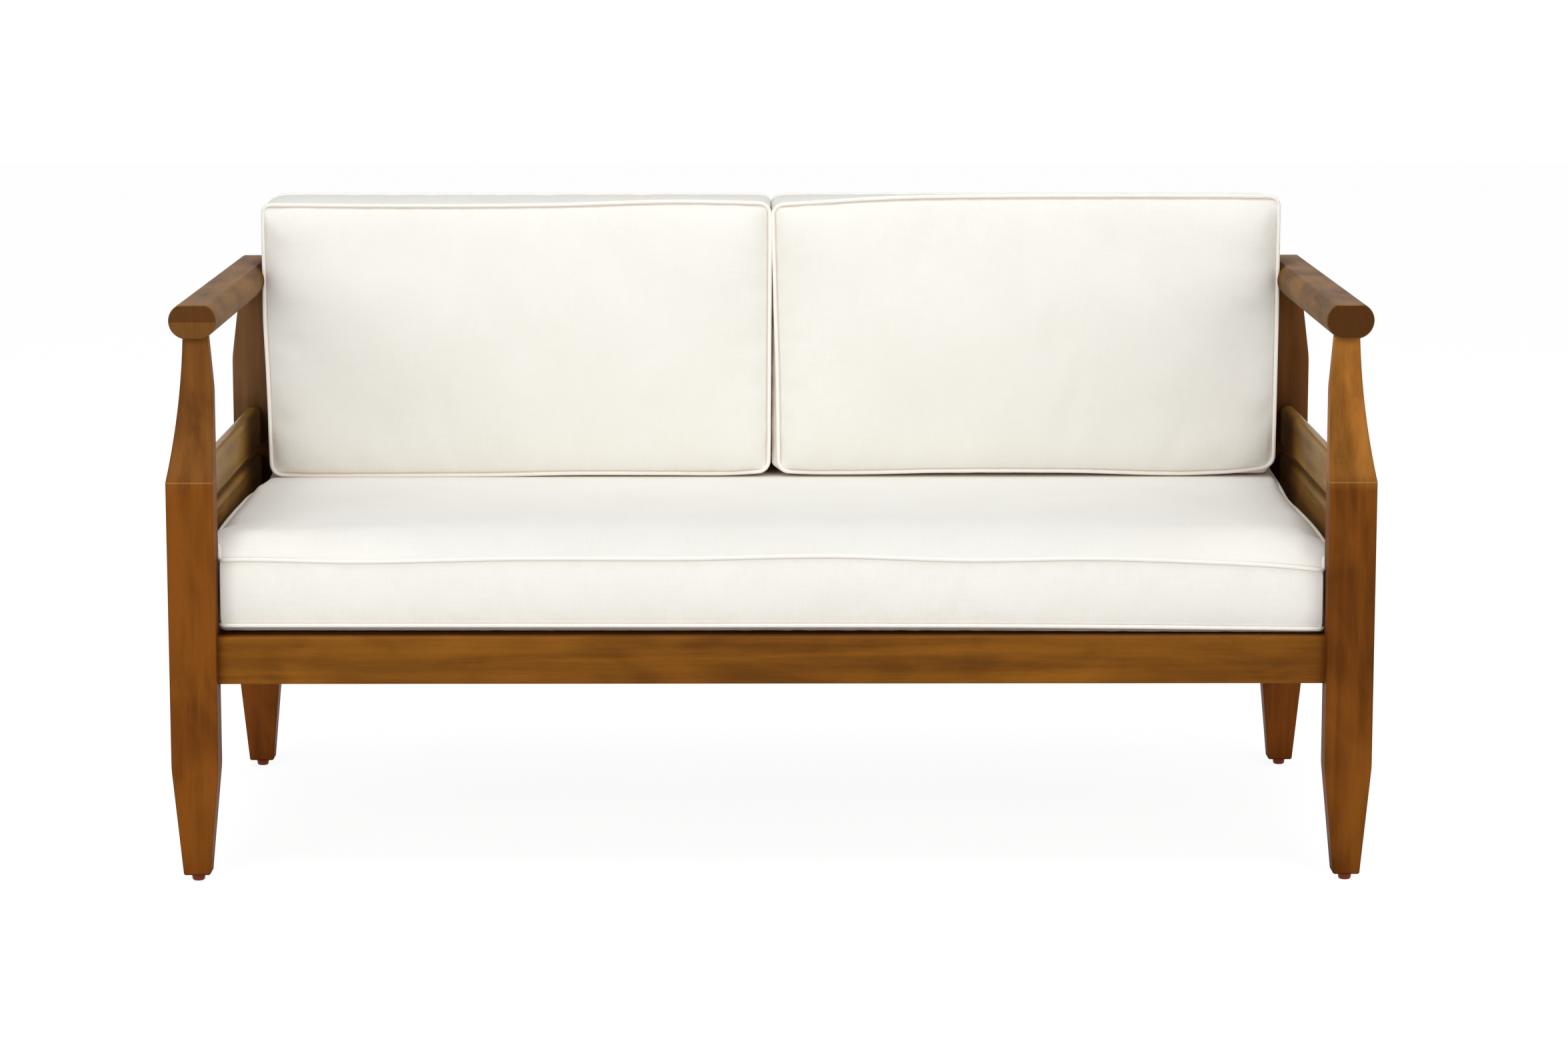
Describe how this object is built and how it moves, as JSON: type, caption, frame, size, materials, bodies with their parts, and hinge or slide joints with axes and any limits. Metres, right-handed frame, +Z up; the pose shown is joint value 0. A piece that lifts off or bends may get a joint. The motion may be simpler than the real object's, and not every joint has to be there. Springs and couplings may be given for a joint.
{
  "type": "patio loveseat",
  "caption": "patio loveseat with an oiled hardwood frame, flat-topped oval arms, a full-width seat cushion and back cushions in cream piped fabric",
  "frame": {"origin": "on the floor, under the middle of the frame's width and depth", "axes": "+X along the seat, -Y out of the front where people sit, +Y to the back panel, +Z up"},
  "size_m": [1.4, 0.683, 0.7578],
  "materials": {
    "oiled_acacia": "teak oil finish, satin, with a clear reddish-brown grain",
    "dowel_wood": "plain beech, matte",
    "cushion_cover": "woven outdoor polyester, cream white, matte",
    "glide_plastic": "moulded nylon, reddish brown, low sheen",
    "zinc_steel": "bright zinc plate"
  },
  "bodies": {
    "frame": {"arm_dowels": "dowel_wood", "arm_left": "oiled_acacia", "arm_right": "oiled_acacia", "back_bottom_rail": "oiled_acacia", "back_slat_1": "oiled_acacia", "back_slat_2": "oiled_acacia", "back_slat_3": "oiled_acacia", "back_slat_4": "oiled_acacia", "back_slat_5": "oiled_acacia", "back_slat_6": "oiled_acacia", "back_slat_7": "oiled_acacia", "back_slat_8": "oiled_acacia", "back_slat_9": "oiled_acacia", "back_top_rail": "oiled_acacia", "barrel_nuts": "zinc_steel", "foot_inserts": "zinc_steel", "front_leg_left": "oiled_acacia", "front_leg_right": "oiled_acacia", "front_rail": "oiled_acacia", "ledger_screws": "zinc_steel", "rail_bolts": "zinc_steel", "rear_leg_left": "oiled_acacia", "rear_leg_right": "oiled_acacia", "rear_rail": "oiled_acacia", "seat_bearer": "oiled_acacia", "seat_slat_1": "oiled_acacia", "seat_slat_2": "oiled_acacia", "seat_slat_3": "oiled_acacia", "seat_slat_4": "oiled_acacia", "seat_slat_5": "oiled_acacia", "seat_slat_6": "oiled_acacia", "seat_slat_7": "oiled_acacia", "side_board_lower_left": "oiled_acacia", "side_board_lower_right": "oiled_acacia", "side_board_middle_left": "oiled_acacia", "side_board_middle_right": "oiled_acacia", "side_board_upper_left": "oiled_acacia", "side_board_upper_right": "oiled_acacia", "side_ledger_left": "oiled_acacia", "side_ledger_right": "oiled_acacia", "side_rail_left": "oiled_acacia", "side_rail_right": "oiled_acacia", "slat_screws": "zinc_steel"},
    "seat_cushion": {"seat_cushion": "cushion_cover"},
    "back_cushion_left": {"back_cushion_left": "cushion_cover"},
    "back_cushion_right": {"back_cushion_right": "cushion_cover"},
    "glide_front_left": {"glide_front_left": "glide_plastic", "glide_stud_front_left": "zinc_steel"},
    "glide_front_right": {"glide_front_right": "glide_plastic", "glide_stud_front_right": "zinc_steel"},
    "glide_rear_left": {"glide_rear_left": "glide_plastic", "glide_stud_rear_left": "zinc_steel"},
    "glide_rear_right": {"glide_rear_right": "glide_plastic", "glide_stud_rear_right": "zinc_steel"}
  },
  "joints": [
    {"name": "seat_cushion_lift", "type": "slide", "parent": "frame", "child": "seat_cushion", "axis": [0, 0, 1], "range_m": [0, 0.2]},
    {"name": "back_cushion_left_lift", "type": "slide", "parent": "seat_cushion", "child": "back_cushion_left", "axis": [0, 0, 1], "range_m": [0, 0.3]},
    {"name": "back_cushion_right_lift", "type": "slide", "parent": "seat_cushion", "child": "back_cushion_right", "axis": [0, 0, 1], "range_m": [0, 0.3]},
    {"name": "glide_front_left_level", "type": "slide", "parent": "frame", "child": "glide_front_left", "axis": [0, 0, -1], "range_m": [0, 0.01]},
    {"name": "glide_front_right_level", "type": "slide", "parent": "frame", "child": "glide_front_right", "axis": [0, 0, -1], "range_m": [0, 0.01]},
    {"name": "glide_rear_left_level", "type": "slide", "parent": "frame", "child": "glide_rear_left", "axis": [0, 0, -1], "range_m": [0, 0.01]},
    {"name": "glide_rear_right_level", "type": "slide", "parent": "frame", "child": "glide_rear_right", "axis": [0, 0, -1], "range_m": [0, 0.01]}
  ]
}
